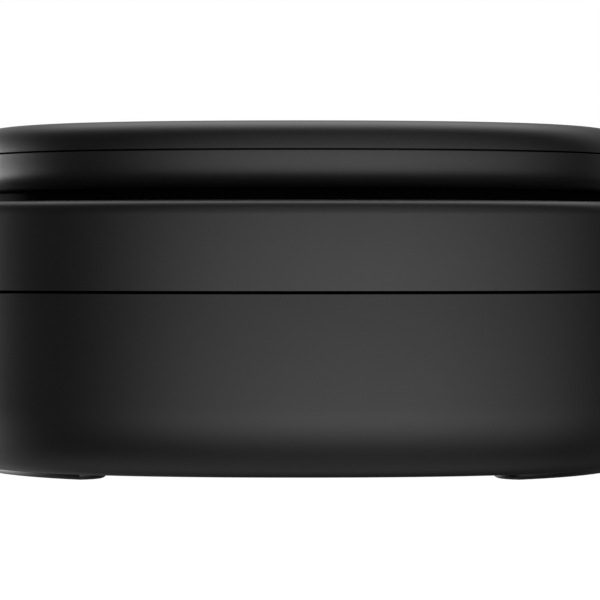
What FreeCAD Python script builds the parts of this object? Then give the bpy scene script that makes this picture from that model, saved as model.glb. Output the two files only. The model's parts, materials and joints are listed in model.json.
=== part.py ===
"""Wireless earbuds charging case: a low rounded-square desk case with a hinged lid.

Frame: X to the right, Y to the back, Z up, millimetres. The origin is on the surface that the
case stands on, under the middle of the case. The lid opens at the front, -Y, and its hinge and
the charging socket are at the back, +Y. The pairing button is on the right side, +X.
Every sub-part is one object of the document, and its label is its node's name.
"""
import FreeCAD, Part
import os
import re

import Sketcher
from FreeCAD import Vector

# ---------------------------------------------------------------- driving dimensions (mm)
SIZES = {
    # rounded-square outlines: half widths, and how far their curve handles reach
    "case_half": 37.0,
    "lid_half": 32.8,
    "tray_half": 30.1,
    "roundness": 0.70,
    # heights above the surface that the case stands on
    "shell_bottom": 0.56,
    "base_seam": 16.75,
    "base_top": 24.75,
    "lid_bottom": 25.85,
    "lid_seam": 29.2,
    "case_top": 31.85,
    # seams, walls and edge radii
    "base_seam_gap": 0.24,
    "lid_seam_gap": 0.1,
    "fit_gap": 0.15,
    "close_gap": 0.05,
    "small_edge": 0.2,
    "wall": 2.0,
    "lid_wall": 1.2,
    "seam_lip": 1.2,
    "lip_drop": 1.8,
    "lip_bond": 3.4,
    "bottom_round": 5.0,
    "bottom_round_inside": 3.2,
    "rim_round": 1.3,
    "lid_top_round": 2.9,
    "lid_under_round": 2.0,
    "collar_plate": 1.6,
    "cap_plate": 1.4,
    "ring_flange": 1.2,
    "ring_opening": 30.7,
    # feet: a band along each corner of the bottom
    "foot_outer": 32.0,
    "foot_inner": 27.5,
    "foot_reach": 19.6,
    "foot_recess": 0.5,
    "foot_edge": 0.5,
    # tray with two earbud wells
    "tray_rim": 1.0,
    "tray_rim_top": 26.35,
    "deck_level": 25.05,
    "deck": 1.3,
    "flange_half": 33.6,
    "flange_bottom": 21.75,
    "flange": 1.35,
    "well_width": 18.0,
    "well_length": 25.0,
    "well_offset": 12.4,
    "well_floor": 11.4,
    "well_base": 1.4,
    "well_wall": 1.2,
    "well_edge": 0.7,
    # screws
    "screw_reach": 24.0,
    "screw_radius": 0.7,
    "screw_hole": 0.75,
    "screw_head": 1.3,
    "screw_head_tall": 0.8,
    "screw_drive": 0.45,
    "screw_grip": 1.1,
    # magnets
    "magnet_radius": 1.8,
    "magnet_tall": 1.4,
    "magnet_front": 24.4,
    "magnet_apart": 8.0,
    "magnet_boss": 2.4,
    "boss_bottom": 25.55,
    "bumper": 0.45,
    "well_magnet_apart": 7.5,
    # hinge
    "hinge_back": 34.3,
    "hinge_level": 26.75,
    "knuckle_radius": 1.5,
    "knuckle_foot": 34.5,
    "pin_radius": 0.6,
    "pin_play": 0.05,
    "pin_half": 12.3,
    "arm_half": 7.0,
    "knuckle_gap": 0.3,
    "bracket_half": 12.5,
    "bracket_front": 30.6,
    "bracket_back": 32.6,
    "bracket_tall": 0.8,
    "bracket_overlap": 0.3,
    "peg_radius": 0.5,
    "peg_back": 31.6,
    "peg_apart": 10.0,
    "arm_tall": 1.2,
    "arm_tab_half": 6.5,
    "arm_tab_front": 24.6,
    "arm_screw_back": 26.3,
    "arm_screw_apart": 4.5,
    # circuit board and what stands on it
    "board_bottom": 7.6,
    "board": 0.8,
    "board_half_wide": 32.8,
    "board_half_deep": 17.0,
    "board_corner": 3.0,
    "board_tab_half": 7.5,
    "board_tab_back": 33.0,
    "post_across": 28.5,
    "post_apart": 13.0,
    "post_radius": 2.0,
    "controller_half": 2.5,
    "controller_front": 4.0,
    "controller_tall": 0.9,
    "radio_half": 2.0,
    "radio_front": -8.0,
    "radio_tall": 0.8,
    "inductor_left": -6.3,
    "inductor_front": 19.0,
    "inductor_side": 3.3,
    "inductor_tall": 1.4,
    "inductor_edge": 0.5,
    "sensor_left": 6.5,
    "sensor_long": 2.9,
    "sensor_front": -16.4,
    "sensor_wide": 1.6,
    "sensor_tall": 1.1,
    # charging port
    "port_width": 8.94,
    "port_tall": 3.26,
    "port_wall": 0.3,
    "port_mouth": 36.5,
    "port_length": 7.3,
    "port_hole_gap": 0.18,
    "tongue_width": 6.69,
    "tongue_tall": 0.7,
    # pairing button on the right side
    "button_level": 9.6,
    "button_width": 8.0,
    "button_tall": 3.2,
    "button_gap": 0.1,
    "button_face": 36.9,
    "button_flange": 0.8,
    "button_flange_face": 34.6,
    "button_flange_thick": 0.6,
    "button_stub": 0.8,
    "button_stub_end": 33.0,
    "switch_face": 32.4,
    "switch_deep": 3.0,
    "switch_half": 2.2,
    "switch_tall": 2.4,
    # lamp under the tray and its light pipe up to the deck
    "lamp_front": 15.5,
    "lamp_tall": 0.7,
    "lamp_half_wide": 0.8,
    "lamp_half_deep": 0.5,
    "pipe_radius": 0.75,
    "pipe_flange": 0.5,
    # spring contacts in the wells
    "contact_apart": 2.5,
    "barrel_radius": 0.8,
    "barrel_bore": 0.65,
    "barrel_mouth": 0.5,
    "barrel_top": 11.3,
    "barrel_lid": 0.35,
    "barrel_floor": 0.2,
    "plunger_radius": 0.45,
    "plunger_collar": 0.6,
    "plunger_collar_tall": 0.35,
    "plunger_collar_level": 10.2,
    "plunger_tip": 12.1,
    "spring_radius": 0.5,
    "spring_wire": 0.06,
    "spring_turns": 5,
    # battery and charging coil
    "battery_half_long": 21.0,
    "battery_half_wide": 17.0,
    "battery_bottom": 3.9,
    "battery_tall": 3.3,
    "battery_edge": 1.2,
    "strip_reach": 2.0,
    "strip": 0.2,
    "strip_wide": 6.0,
    "coil_outer": 21.0,
    "coil_inner": 10.2,
    "coil_bottom": 2.6,
    "coil_wire": 0.25,
    "coil_turns": 18,
    "ferrite_half": 22.0,
    "ferrite_bottom": 3.15,
    "ferrite": 0.3,
    "foam": 0.45,
}

CORNERS = {"front_left": (-1, -1), "front_right": (1, -1), "rear_left": (-1, 1), "rear_right": (1, 1)}
PARTS_FOLDER = "parts"

doc = FreeCAD.newDocument("EarbudsCase")
sheet = doc.addObject("Spreadsheet::Sheet", "Sizes")
subparts = []


# ---------------------------------------------------------------- sheet and sketch helpers
def fill_sheet():
    """One row per driving dimension: its name, and its value with that name as alias."""
    for row, (alias, number) in enumerate(SIZES.items(), 1):
        sheet.set(f"A{row}", alias)
        sheet.set(f"B{row}", str(number))
        sheet.setAlias(f"B{row}", alias)
    doc.recompute()


def size(alias):
    return float(sheet.get(alias))


def bound(text):
    """A sum of aliases, such as 'wall + deck', as an expression on the sheet."""
    return re.sub(r"[a-z_]+", lambda word: "Sizes." + word.group(), text)


def new_body(label):
    body = doc.addObject("PartDesign::Body", label)
    body.Label = label
    body.AllowCompound = True
    subparts.append(body)
    return body


def new_sketch(body, name, level, role="XY_Plane"):
    """A sketch on one of the body's origin planes, moved along that plane's normal to level."""
    sketch = body.newObject("Sketcher::SketchObject", name)
    plane = next(item for item in body.Origin.OriginFeatures if item.Role == role)
    sketch.AttachmentSupport = [(plane, "")]
    sketch.MapMode = "FlatFace"
    sketch.setExpression("AttachmentOffset.Base.z", bound(level))
    return sketch


def bind(sketch, constraint, text):
    index = sketch.addConstraint(constraint)
    sketch.setExpression(f"Constraints[{index}]", bound(text))


def circle(sketch, across, up, radius):
    """A circle whose centre and radius follow the sheet."""
    index = sketch.addGeometry(Part.Circle(Vector(1, 1, 0), Vector(0, 0, 1), 1.0))
    bind(sketch, Sketcher.Constraint("Radius", index, 1.0), radius)
    bind(sketch, Sketcher.Constraint("DistanceX", -1, 1, index, 3, 1.0), across)
    bind(sketch, Sketcher.Constraint("DistanceY", -1, 1, index, 3, 1.0), up)


def rectangle(sketch, left, right, bottom, top):
    """An upright rectangle whose four sides follow the sheet."""
    first = sketch.GeometryCount
    corners = [Vector(0, 0, 0), Vector(1, 0, 0), Vector(1, 1, 0), Vector(0, 1, 0)]
    for start, end in zip(corners, corners[1:] + corners[:1]):
        sketch.addGeometry(Part.LineSegment(start, end))
    for side in range(4):
        sketch.addConstraint(Sketcher.Constraint("Coincident", first + side, 2, first + (side + 1) % 4, 1))
    for side, direction in enumerate(["Horizontal", "Vertical", "Horizontal", "Vertical"]):
        sketch.addConstraint(Sketcher.Constraint(direction, first + side))
    bind(sketch, Sketcher.Constraint("DistanceX", -1, 1, first, 1, 0.0), left)
    bind(sketch, Sketcher.Constraint("DistanceY", -1, 1, first, 1, 0.0), bottom)
    bind(sketch, Sketcher.Constraint("DistanceX", -1, 1, first + 2, 1, 1.0), right)
    bind(sketch, Sketcher.Constraint("DistanceY", -1, 1, first + 2, 1, 1.0), top)


def polygon(sketch, points):
    """A closed polygon through points of the sketch plane."""
    corners = [Vector(across, up, 0) for across, up in points]
    for start, end in zip(corners, corners[1:] + corners[:1]):
        sketch.addGeometry(Part.LineSegment(start, end))


def capsule(sketch, middle_across, middle_up, length, width, upright=False):
    """A slot shape lying along the sketch's first axis, or its second when upright."""
    def spot(along, aside):
        if upright:
            return Vector(middle_across + aside, middle_up + along, 0)
        return Vector(middle_across + along, middle_up + aside, 0)

    radius = width / 2
    reach = length / 2 - radius
    sketch.addGeometry(Part.LineSegment(spot(-reach, -radius), spot(reach, -radius)))
    sketch.addGeometry(Part.Arc(spot(reach, -radius), spot(reach + radius, 0), spot(reach, radius)))
    sketch.addGeometry(Part.LineSegment(spot(reach, radius), spot(-reach, radius)))
    sketch.addGeometry(Part.Arc(spot(-reach, radius), spot(-reach - radius, 0), spot(-reach, -radius)))


def outline_quarter(half, sign_x=1, sign_y=1):
    """One quarter of the rounded square: a cubic curve from the Y axis to the X axis."""
    handle = size("roundness") * half
    poles = [(0, half), (handle, half), (half, handle), (half, 0)]
    curve = Part.BezierCurve()
    curve.setPoles([Vector(sign_x * across, sign_y * up, 0) for across, up in poles])
    return curve


def outline(sketch, half):
    """The whole rounded square, smooth where the quarters meet."""
    for sign_x, sign_y in CORNERS.values():
        sketch.addGeometry(outline_quarter(half, sign_x, sign_y).toBSpline())


# ---------------------------------------------------------------- feature helpers
def pad(body, name, sketch, length, both_ways=False, backwards=False):
    feature = body.newObject("PartDesign::Pad", name)
    feature.Profile = sketch
    feature.SideType = "Symmetric" if both_ways else "One side"
    feature.Reversed = backwards
    feature.setExpression("Length", bound(length))
    doc.recompute()
    return feature


def pocket(body, name, sketch, length, backwards=False):
    """Cut against the sketch's normal, or along it when backwards, and check that it cuts."""
    before = body.Tip.Shape.Volume
    feature = body.newObject("PartDesign::Pocket", name)
    feature.Profile = sketch
    feature.Reversed = backwards
    feature.setExpression("Length", bound(length))
    doc.recompute()
    if not feature.Shape.Volume < before:
        raise RuntimeError(f"{body.Label}: {name} cuts nothing")
    return feature


def turn(body, name, sketch):
    """Revolve a profile about the sketch's upright axis."""
    feature = body.newObject("PartDesign::Revolution", name)
    feature.Profile = sketch
    feature.ReferenceAxis = (sketch, ["V_Axis"])
    feature.Angle = 360.0
    doc.recompute()
    return feature


def flat_edges(feature, level, test):
    """Names of the edges that lie at one height and whose box passes a test."""
    names = []
    for number, edge in enumerate(feature.Shape.Edges, 1):
        box = edge.BoundBox
        if abs(box.ZMin - level) < 0.01 and abs(box.ZMax - level) < 0.01 and test(box):
            names.append(f"Edge{number}")
    return names


def upright_edges(feature, test):
    """Names of the straight edges along Z whose box passes a test."""
    names = []
    for number, edge in enumerate(feature.Shape.Edges, 1):
        box = edge.BoundBox
        if box.XLength < 0.01 and box.YLength < 0.01 and test(box):
            names.append(f"Edge{number}")
    return names


def reaches(half):
    """A test for an edge that reaches one half width."""
    return lambda box: abs(max(abs(box.XMin), abs(box.XMax)) - half) < 0.05


def round_edges(body, name, edges, radius):
    before = body.Tip
    feature = body.newObject("PartDesign::Fillet", name)
    feature.Base = (before, edges)
    feature.setExpression("Radius", bound(radius))
    doc.recompute()
    return feature


def discs(body, name, places, radius, level, tall):
    """Equal upright discs at the given places, as one pad."""
    sketch = new_sketch(body, name + "Sketch", level)
    for across, up in places:
        circle(sketch, across, up, radius)
    return pad(body, name, sketch, tall)


def holes(body, name, places, radius, level, deep):
    """Equal round holes going down from level at the given places."""
    sketch = new_sketch(body, name + "Sketch", level)
    for across, up in places:
        circle(sketch, across, up, radius)
    return pocket(body, name, sketch, deep)


def box_part(label, left, right, front, back, bottom, tall, edge=None):
    """A block with its sides on the sheet, its upright edges rounded when edge is given."""
    body = new_body(label)
    sketch = new_sketch(body, label + "_outline", bottom)
    rectangle(sketch, left, right, front, back)
    block = pad(body, label + "_block", sketch, tall)
    if edge:
        round_edges(body, label + "_corners", upright_edges(block, lambda box: True), edge)
    return body


def screw_group(label, places, seat, grip, downwards=True):
    """Screws with round heads on the seat, pointing down or up, one solid each."""
    body = new_body(label)
    if downwards:
        discs(body, label + "_heads", places, "screw_head", seat, "screw_head_tall")
        discs(body, label + "_shanks", places, "screw_radius", f"{seat} - ({grip})", grip)
        holes(body, label + "_drives", places, "screw_drive", f"{seat} + screw_head_tall", "screw_drive")
    else:
        discs(body, label + "_heads", places, "screw_head", f"{seat} - screw_head_tall", "screw_head_tall")
        discs(body, label + "_shanks", places, "screw_radius", seat, grip)
        sketch = new_sketch(body, label + "_drives_sketch", f"{seat} - screw_head_tall")
        for across, up in places:
            circle(sketch, across, up, "screw_drive")
        pocket(body, label + "_drives", sketch, "screw_drive", backwards=True)
    return body


def four(across, up):
    """The four places at plus and minus across and up."""
    return [(f"{sign_x} * {across}", f"{sign_y} * {up}") for sign_x, sign_y in CORNERS.values()]


def pair(across, up):
    """The two places at plus and minus across, at one up."""
    return [(f"{sign} * {across}", up) for sign in (-1, 1)]


# ---------------------------------------------------------------- base: shells and feet
def foot_outline(sketch, sign_x, sign_y):
    """A band along one corner of the bottom, with round ends."""
    outer, inner = size("foot_outer"), size("foot_inner")
    ends = []
    for half in (outer, inner):
        curve = outline_quarter(half)
        start = near_parameter(curve, size("foot_reach"))
        curve = outline_quarter(half, sign_x, sign_y)
        curve.segment(start, 1 - start)
        ends.append((curve.value(0), curve.value(1)))
        sketch.addGeometry(curve.toBSpline())
    radius = (outer - inner) / 2
    for number, away in enumerate([Vector(-sign_x, 0, 0), Vector(0, -sign_y, 0)]):
        first, last = ends[0][number], ends[1][number]
        middle = (first + last) * 0.5 + away * radius
        sketch.addGeometry(Part.Arc(first, middle, last))


def near_parameter(curve, across):
    """Where a first-quarter curve reaches an X, found by halving."""
    low, high = 0.0, 1.0
    for _ in range(40):
        middle = (low + high) / 2
        if curve.value(middle).x < across:
            low = middle
        else:
            high = middle
    return low


def make_foot(place, sign_x, sign_y):
    body = new_body("foot_" + place)
    sketch = new_sketch(body, f"foot_{place}_outline", "0")
    foot_outline(sketch, sign_x, sign_y)
    block = pad(body, f"foot_{place}_block", sketch, "shell_bottom + foot_recess")
    round_edges(body, f"foot_{place}_edge", flat_edges(block, 0, lambda box: True), "foot_edge")


def make_lower_shell():
    """The open bowl that stands on the feet, with board posts and side openings."""
    body = new_body("base_lower_shell")
    sketch = new_sketch(body, "bowl_outline", "shell_bottom")
    outline(sketch, size("case_half"))
    bowl = pad(body, "bowl", sketch, "base_seam - base_seam_gap / 2 - shell_bottom")
    edges = flat_edges(bowl, size("shell_bottom"), reaches(size("case_half")))
    round_edges(body, "bottom_edge", edges, "bottom_round")

    sketch = new_sketch(body, "bowl_inside_outline", "base_seam - base_seam_gap / 2")
    inside_half = size("case_half") - size("wall")
    outline(sketch, inside_half)
    inside = pocket(body, "bowl_inside", sketch, "base_seam - base_seam_gap / 2 - shell_bottom - wall")
    floor = size("shell_bottom") + size("wall")
    round_edges(body, "inside_edge", flat_edges(inside, floor, reaches(inside_half)), "bottom_round_inside")

    discs(body, "posts", four("post_across", "post_apart"), "post_radius", "shell_bottom + wall / 2",
          "board_bottom - shell_bottom - wall / 2")
    holes(body, "post_holes", four("post_across", "post_apart"), "screw_hole", "board_bottom",
          "3 * screw_grip")

    for place, (sign_x, sign_y) in CORNERS.items():
        sketch = new_sketch(body, f"foot_recess_{place}_outline", "shell_bottom")
        foot_outline(sketch, sign_x, sign_y)
        pocket(body, f"foot_recess_{place}", sketch, "foot_recess", backwards=True)

    sketch = new_sketch(body, "port_hole_outline", "-case_half", "XZ_Plane")
    gap = size("port_hole_gap")
    capsule(sketch, 0, port_level(), size("port_width") + 2 * gap, size("port_tall") + 2 * gap)
    pocket(body, "port_hole", sketch, "2 * wall", backwards=True)

    sketch = new_sketch(body, "button_hole_outline", "case_half - wall - post_radius", "YZ_Plane")
    gap = size("button_gap")
    capsule(sketch, 0, size("button_level"), size("button_width") + 2 * gap, size("button_tall") + 2 * gap)
    pocket(body, "button_hole", sketch, "3 * wall", backwards=True)


def make_collar():
    """The upper ring of the base: its wall, the ledge round the tray, and the seam lip."""
    body = new_body("base_collar")
    sketch = new_sketch(body, "collar_outline", "base_seam + base_seam_gap / 2")
    outline(sketch, size("case_half"))
    block = pad(body, "collar_block", sketch, "base_top - base_seam - base_seam_gap / 2")
    edges = flat_edges(block, size("base_top"), reaches(size("case_half")))
    round_edges(body, "collar_rim", edges, "rim_round")

    inside_half = size("case_half") - size("wall")
    sketch = new_sketch(body, "collar_inside_outline", "base_top - collar_plate")
    outline(sketch, inside_half)
    pocket(body, "collar_inside", sketch, "base_top - collar_plate - base_seam - base_seam_gap / 2")

    sketch = new_sketch(body, "collar_opening_outline", "base_top")
    outline(sketch, size("tray_half") + 2 * size("fit_gap"))
    pocket(body, "collar_opening", sketch, "collar_plate")

    lip_outer = inside_half - size("fit_gap")
    lip_inner = lip_outer - size("seam_lip")
    sketch = new_sketch(body, "bond_outline", "base_seam + base_seam_gap")
    outline(sketch, inside_half + size("fit_gap"))
    outline(sketch, lip_inner)
    pad(body, "lip_bond_ring", sketch, "lip_bond - lip_drop")
    sketch = new_sketch(body, "lip_outline", "base_seam - lip_drop")
    outline(sketch, lip_outer)
    outline(sketch, lip_inner)
    pad(body, "seam_lip_ring", sketch, "lip_drop + lip_bond / 2")

    sketch = new_sketch(body, "tray_screw_holes_sketch", "base_top - collar_plate")
    for across, up in four("screw_reach", "screw_reach"):
        circle(sketch, across, up, "screw_hole")
    pocket(body, "tray_screw_holes", sketch, "screw_grip + fit_gap", backwards=True)
    holes(body, "peg_holes", pair("peg_apart", "peg_back"), "peg_radius", "base_top", "collar_plate")


# ---------------------------------------------------------------- base: tray
def well_outlines(sketch, extra):
    for side in (-1, 1):
        capsule(sketch, side * size("well_offset"), 0, size("well_length") + 2 * extra,
                size("well_width") + 2 * extra, upright=True)


def make_tray():
    """The inner moulding: a deck with a raised rim, a hidden flange and two earbud wells."""
    body = new_body("earbud_tray")
    half = size("tray_half")
    sketch = new_sketch(body, "tray_outline", "flange_bottom")
    outline(sketch, half)
    pad(body, "tray_block", sketch, "tray_rim_top - flange_bottom")

    sketch = new_sketch(body, "deck_outline", "tray_rim_top")
    outline(sketch, half - size("tray_rim"))
    pocket(body, "deck_recess", sketch, "tray_rim_top - deck_level")
    sketch = new_sketch(body, "under_deck_outline", "deck_level - deck")
    outline(sketch, half - size("well_wall"))
    pocket(body, "under_deck", sketch, "deck_level - deck - flange_bottom")

    sketch = new_sketch(body, "flange_outline", "flange_bottom")
    outline(sketch, size("flange_half"))
    outline(sketch, half - size("well_wall"))
    pad(body, "tray_flange", sketch, "flange")

    sketch = new_sketch(body, "cups_outline", "well_floor - well_base")
    well_outlines(sketch, size("well_wall"))
    pad(body, "cups", sketch, "deck_level - deck / 2 - well_floor + well_base")
    sketch = new_sketch(body, "wells_outline", "deck_level")
    well_outlines(sketch, 0)
    wells = pocket(body, "wells", sketch, "deck_level - well_floor")
    well_reach = size("well_length") / 2 + 0.1
    edges = flat_edges(wells, size("deck_level"), lambda box: max(abs(box.YMin), abs(box.YMax)) < well_reach)
    round_edges(body, "well_edges", edges, "well_edge")

    holes(body, "contact_holes", four("well_offset", "contact_apart"), "barrel_radius", "well_floor",
          "well_base")
    holes(body, "tray_screw_clearance", four("screw_reach", "screw_reach"), "screw_hole",
          "flange_bottom + flange", "flange")
    holes(body, "lamp_hole", [("0", "-lamp_front")], "pipe_radius", "deck_level", "deck")


# ---------------------------------------------------------------- hinge
def make_hinge_bracket():
    """The fixed half of the hinge: a low plate on the ledge with a knuckle at each end."""
    body = new_body("hinge_bracket")
    sketch = new_sketch(body, "plate_outline", "base_top")
    rectangle(sketch, "-bracket_half", "bracket_half", "bracket_front", "bracket_back")
    pad(body, "bracket_plate", sketch, "bracket_tall")

    ledge, axis_level = size("base_top"), size("hinge_level")
    inner = size("hinge_back") - size("knuckle_radius")
    outer = size("hinge_back") + size("knuckle_radius")
    corners = [(outer, axis_level), (size("knuckle_foot"), ledge),
               (size("bracket_back") - size("bracket_overlap"), ledge), (inner, axis_level)]
    for side, name in ((1, "right"), (-1, "left")):
        sketch = new_sketch(body, f"{name}_knuckle_profile", f"{side} * (arm_half + knuckle_gap)", "YZ_Plane")
        for start, end in zip(corners, corners[1:]):
            sketch.addGeometry(Part.LineSegment(Vector(*start, 0), Vector(*end, 0)))
        crown = Vector(size("hinge_back"), axis_level + size("knuckle_radius"), 0)
        sketch.addGeometry(Part.Arc(Vector(*corners[-1], 0), crown, Vector(*corners[0], 0)))
        circle(sketch, "hinge_back", "hinge_level", "pin_radius")
        pad(body, f"{name}_knuckle", sketch, "bracket_half - arm_half - knuckle_gap", backwards=side < 0)

    discs(body, "pegs", pair("peg_apart", "peg_back"), "peg_radius", "base_top - collar_plate",
          "collar_plate + bracket_tall / 2")


def make_hinge_pin():
    body = new_body("hinge_pin")
    sketch = new_sketch(body, "pin_profile", "0", "YZ_Plane")
    circle(sketch, "hinge_back", "hinge_level", "pin_radius")
    pad(body, "pin_rod", sketch, "2 * pin_half", both_ways=True)


def make_hinge_arm():
    """The moving half of the hinge: a middle knuckle and a tab that enters the lid."""
    body = new_body("lid_hinge_arm")
    sketch = new_sketch(body, "arm_knuckle_profile", "0", "YZ_Plane")
    circle(sketch, "hinge_back", "hinge_level", "knuckle_radius")
    pad(body, "arm_knuckle", sketch, "2 * arm_half", both_ways=True)
    sketch = new_sketch(body, "arm_tab_outline", "lid_bottom + ring_flange")
    rectangle(sketch, "-arm_tab_half", "arm_tab_half", "arm_tab_front", "hinge_back")
    pad(body, "arm_tab", sketch, "arm_tall")
    sketch = new_sketch(body, "arm_bore_profile", "-arm_half", "YZ_Plane")
    circle(sketch, "hinge_back", "hinge_level", "pin_radius + pin_play")
    pocket(body, "arm_bore", sketch, "2 * arm_half", backwards=True)
    holes(body, "arm_screw_holes", pair("arm_screw_apart", "arm_screw_back"), "screw_hole",
          "lid_bottom + ring_flange + arm_tall", "arm_tall")


# ---------------------------------------------------------------- lid
def make_lid_ring():
    """The lower ring of the lid, curved under, with a flange inside and a seam lip."""
    body = new_body("lid_ring")
    sketch = new_sketch(body, "ring_outline", "lid_bottom")
    outline(sketch, size("lid_half"))
    block = pad(body, "ring_block", sketch, "lid_seam - lid_seam_gap / 2 - lid_bottom")
    edges = flat_edges(block, size("lid_bottom"), reaches(size("lid_half")))
    round_edges(body, "under_edge", edges, "lid_under_round")

    sketch = new_sketch(body, "ring_inside_outline", "lid_seam - lid_seam_gap / 2")
    inside_half = size("lid_half") - size("lid_wall")
    outline(sketch, inside_half)
    pocket(body, "ring_inside", sketch, "lid_seam - lid_seam_gap / 2 - lid_bottom - ring_flange")
    sketch = new_sketch(body, "ring_opening_outline", "lid_bottom + ring_flange")
    outline(sketch, size("ring_opening"))
    pocket(body, "ring_hole", sketch, "ring_flange")

    sketch = new_sketch(body, "ring_lip_outline", "lid_bottom + ring_flange / 2")
    outline(sketch, inside_half - size("fit_gap"))
    outline(sketch, inside_half - size("fit_gap") - size("seam_lip"))
    pad(body, "ring_lip", sketch, "lid_seam + fit_gap - lid_bottom - ring_flange / 2")

    sketch = new_sketch(body, "arm_window_profile", "-arm_tab_front", "XZ_Plane")
    rectangle(sketch, "-arm_tab_half", "arm_tab_half", "lid_bottom + ring_flange",
              "lid_bottom + ring_flange + arm_tall")
    pocket(body, "arm_window", sketch, "lid_half - arm_tab_front + wall")


def make_lid_cap():
    """The top of the lid with its rounded edge."""
    body = new_body("lid_cap")
    sketch = new_sketch(body, "cap_outline", "case_top - lid_top_round - fit_gap")
    outline(sketch, size("lid_half"))
    block = pad(body, "cap_block", sketch, "lid_top_round + fit_gap")
    edges = flat_edges(block, size("case_top"), reaches(size("lid_half")))
    round_edges(body, "cap_edge", edges, "lid_top_round")
    sketch = new_sketch(body, "cap_trim_outline", "lid_seam + lid_seam_gap / 2")
    rectangle(sketch, "-case_half", "case_half", "-case_half", "case_half")
    pocket(body, "cap_trim", sketch, "case_top - lid_seam")
    sketch = new_sketch(body, "cap_inside_outline", "case_top - cap_plate")
    outline(sketch, size("lid_half") - size("lid_wall"))
    pocket(body, "cap_inside", sketch, "case_top - cap_plate - lid_seam - lid_seam_gap / 2")


def make_lid_liner():
    """The ceiling of the lid, with magnet bosses, hinge bosses and two shallow recesses."""
    body = new_body("lid_liner")
    level = "lid_seam + fit_gap"
    sketch = new_sketch(body, "liner_outline", level)
    outline(sketch, size("lid_half") - size("lid_wall") - size("fit_gap"))
    plate = "case_top - cap_plate - lid_seam - fit_gap - close_gap"
    pad(body, "liner_plate", sketch, plate)
    sketch = new_sketch(body, "recess_outline", level)
    well_outlines(sketch, 0)
    pocket(body, "recesses", sketch, "2 * fit_gap", backwards=True)

    front = pair("magnet_apart", "-magnet_front")
    discs(body, "magnet_bosses", front, "magnet_boss", "boss_bottom", "lid_seam + 2 * fit_gap - boss_bottom")
    holes(body, "magnet_pockets", front, "magnet_radius", f"{level} + {plate}",
          f"{level} + {plate} - boss_bottom - bumper")
    back = pair("arm_screw_apart", "arm_screw_back")
    discs(body, "hinge_bosses", back, "screw_head", "lid_bottom + ring_flange + arm_tall",
          "lid_seam + 2 * fit_gap - lid_bottom - ring_flange - arm_tall")
    sketch = new_sketch(body, "hinge_screw_holes_sketch", "lid_bottom + ring_flange + arm_tall")
    for across, up in back:
        circle(sketch, across, up, "screw_hole")
    pocket(body, "hinge_screw_holes", sketch, "screw_grip + fit_gap", backwards=True)


def make_lid_bumpers():
    """Soft pads under the magnet bosses, which meet the deck when the lid is shut."""
    body = new_body("lid_bumpers")
    discs(body, "bumper_pads", pair("magnet_apart", "-magnet_front"), "magnet_radius", "boss_bottom - bumper",
          "bumper")


# ---------------------------------------------------------------- electronics
def port_level():
    return size("board_bottom") + size("board") + size("port_tall") / 2


def make_board():
    """The circuit board: a wide middle, and a tab that reaches back to the charging socket."""
    body = box_part("charging_board", "-board_half_wide", "board_half_wide", "-board_half_deep",
                    "board_half_deep", "board_bottom", "board", "board_corner")
    sketch = new_sketch(body, "board_tab_outline", "board_bottom")
    rectangle(sketch, "-board_tab_half", "board_tab_half", "0", "board_tab_back")
    pad(body, "board_tab", sketch, "board")
    holes(body, "board_screw_holes", four("post_across", "post_apart"), "screw_hole",
          "board_bottom + board", "board")


def make_port():
    """The charging socket: a folded metal shell with a contact tongue."""
    body = new_body("usb_c_receptacle")
    sketch = new_sketch(body, "socket_outline", "-port_mouth", "XZ_Plane")
    wall = size("port_wall")
    capsule(sketch, 0, port_level(), size("port_width"), size("port_tall"))
    pad(body, "socket_shell", sketch, "port_length")
    sketch = new_sketch(body, "socket_inside_outline", "-port_mouth", "XZ_Plane")
    capsule(sketch, 0, port_level(), size("port_width") - 2 * wall, size("port_tall") - 2 * wall)
    pocket(body, "socket_inside", sketch, "port_length - 3 * port_wall", backwards=True)

    body = new_body("usb_c_tongue")
    sketch = new_sketch(body, "tongue_outline", "port_wall - port_mouth", "XZ_Plane")
    middle = "(board_bottom + board + port_tall / 2)"
    rectangle(sketch, "-tongue_width / 2", "tongue_width / 2", f"{middle} - tongue_tall / 2",
              f"{middle} + tongue_tall / 2")
    pad(body, "tongue_blade", sketch, "port_length - 4 * port_wall")


def make_components():
    """Chips on the board, each with its own place and height."""
    top = "board_bottom + board"
    box_part("charge_controller_chip", "-controller_half", "controller_half", "controller_front",
             "controller_front + 2 * controller_half", top, "controller_tall")
    box_part("bluetooth_pairing_chip", "-radio_half", "radio_half", "radio_front",
             "radio_front + 2 * radio_half", top, "radio_tall")
    box_part("power_inductor", "inductor_left", "inductor_left + inductor_side", "inductor_front",
             "inductor_front + inductor_side", top, "inductor_tall", "inductor_edge")
    box_part("hall_sensor", "sensor_left", "sensor_left + sensor_long", "sensor_front",
             "sensor_front + sensor_wide", top, "sensor_tall")
    box_part("status_led", "-lamp_half_wide", "lamp_half_wide", "-lamp_front - lamp_half_deep",
             "-lamp_front + lamp_half_deep", top, "lamp_tall")


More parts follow.
